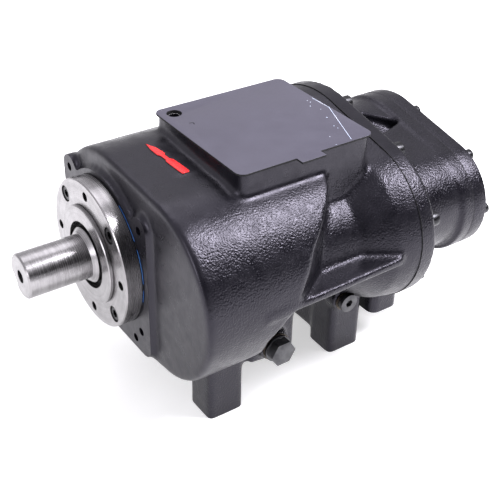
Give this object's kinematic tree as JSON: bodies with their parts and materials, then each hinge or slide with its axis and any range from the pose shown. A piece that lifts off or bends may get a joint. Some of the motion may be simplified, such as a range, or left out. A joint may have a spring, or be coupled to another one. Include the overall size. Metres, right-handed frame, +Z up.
{
  "type": "twin-screw compressor air end",
  "caption": "Oil-injected twin-screw air end: two meshing rotors in a footed cast housing, driven by a bare keyed shaft, with a flanged inlet on top.",
  "frame": {"origin": "on the drive shaft's axis at the front face of the seal cover, the machined face of the drive end", "axes": "+X along the drive shaft from the drive end to the rear cover, +Z up from the feet, -Y towards the female rotor and the drain plug"},
  "size_m": [0.4998, 0.3089, 0.2842],
  "materials": {
    "bearing_steel": "ground and polished",
    "black_oxide": "black oxide",
    "cage_brass": "machined",
    "casting_paint": "semi-gloss black paint over a sand casting",
    "gasket_black": "matte",
    "plate_grey": "matte dark grey",
    "plug_steel": "dark plated",
    "rotor_steel": "ground steel, oiled",
    "turned_steel": "bare turned steel",
    "washer_copper": "dulled copper"
  },
  "bodies": {
    "housing": {"rotor_housing": "casting_paint", "discharge_housing": "casting_paint", "housing_gasket": "gasket_black", "housing_screws": "black_oxide", "dowel_pins": "rotor_steel", "rear_cover": "casting_paint", "rear_cover_gasket": "gasket_black", "rear_cover_screws": "black_oxide", "seal_cover": "turned_steel", "seal_cover_gasket": "gasket_black", "seal_cover_screws": "black_oxide", "shaft_seals": "gasket_black", "male_suction_outer_ring": "bearing_steel", "female_suction_outer_ring": "bearing_steel", "male_discharge_outer_ring": "bearing_steel", "female_discharge_outer_ring": "bearing_steel", "male_thrust_outer_ring": "bearing_steel", "female_thrust_outer_ring": "bearing_steel", "male_outer_spacer": "rotor_steel", "female_outer_spacer": "rotor_steel", "bearing_retainer": "rotor_steel", "bearing_retainer_screws": "black_oxide", "female_bearing_circlip": "rotor_steel", "inlet_cover_plate": "plate_grey", "inlet_gasket": "gasket_black", "drain_plug": "plug_steel", "drain_plug_washer": "washer_copper", "oil_plug": "plug_steel", "oil_plug_washer": "washer_copper"},
    "male_rotor": {"male_rotor": "turned_steel", "shaft_sleeve": "turned_steel", "male_suction_inner_ring": "bearing_steel", "male_discharge_inner_ring": "bearing_steel", "male_thrust_inner_ring": "bearing_steel", "male_inner_spacer": "rotor_steel", "male_lock_nut": "rotor_steel"},
    "female_rotor": {"female_rotor": "rotor_steel", "female_suction_inner_ring": "bearing_steel", "female_discharge_inner_ring": "bearing_steel", "female_thrust_inner_ring": "bearing_steel", "female_inner_spacer": "rotor_steel", "female_lock_nut": "rotor_steel"},
    "male_suction_cage": {"male_suction_cage": "cage_brass", "male_suction_rollers": "bearing_steel"},
    "female_suction_cage": {"female_suction_cage": "cage_brass", "female_suction_rollers": "bearing_steel"},
    "male_discharge_cage": {"male_discharge_cage": "cage_brass", "male_discharge_rollers": "bearing_steel"},
    "female_discharge_cage": {"female_discharge_cage": "cage_brass", "female_discharge_rollers": "bearing_steel"},
    "male_thrust_cage": {"male_thrust_cage": "cage_brass", "male_thrust_balls": "bearing_steel"},
    "female_thrust_cage": {"female_thrust_cage": "cage_brass", "female_thrust_balls": "bearing_steel"}
  },
  "joints": [
    {"name": "male_spin", "type": "hinge", "parent": "housing", "child": "male_rotor", "pos_m": [0, 0, 0], "axis": [1, 0, 0], "continuous": true},
    {"name": "female_spin", "type": "hinge", "parent": "housing", "child": "female_rotor", "pos_m": [0, -0.096, 0], "axis": [1, 0, 0], "continuous": true},
    {"name": "male_suction_cage_spin", "type": "hinge", "parent": "housing", "child": "male_suction_cage", "pos_m": [0, 0, 0], "axis": [1, 0, 0], "continuous": true},
    {"name": "female_suction_cage_spin", "type": "hinge", "parent": "housing", "child": "female_suction_cage", "pos_m": [0, -0.096, 0], "axis": [1, 0, 0], "continuous": true},
    {"name": "male_discharge_cage_spin", "type": "hinge", "parent": "housing", "child": "male_discharge_cage", "pos_m": [0, 0, 0], "axis": [1, 0, 0], "continuous": true},
    {"name": "female_discharge_cage_spin", "type": "hinge", "parent": "housing", "child": "female_discharge_cage", "pos_m": [0, -0.096, 0], "axis": [1, 0, 0], "continuous": true},
    {"name": "male_thrust_cage_spin", "type": "hinge", "parent": "housing", "child": "male_thrust_cage", "pos_m": [0, 0, 0], "axis": [1, 0, 0], "continuous": true},
    {"name": "female_thrust_cage_spin", "type": "hinge", "parent": "housing", "child": "female_thrust_cage", "pos_m": [0, -0.096, 0], "axis": [1, 0, 0], "continuous": true}
  ],
  "couplings": [
    {"joint": "female_spin", "follows": "male_spin", "ratio": -0.83333},
    {"joint": "male_suction_cage_spin", "follows": "male_spin", "ratio": 0.41613},
    {"joint": "female_suction_cage_spin", "follows": "male_spin", "ratio": -0.34028},
    {"joint": "male_discharge_cage_spin", "follows": "male_spin", "ratio": 0.41714},
    {"joint": "female_discharge_cage_spin", "follows": "male_spin", "ratio": -0.34028},
    {"joint": "male_thrust_cage_spin", "follows": "male_spin", "ratio": 0.41},
    {"joint": "female_thrust_cage_spin", "follows": "male_spin", "ratio": -0.33472}
  ]
}
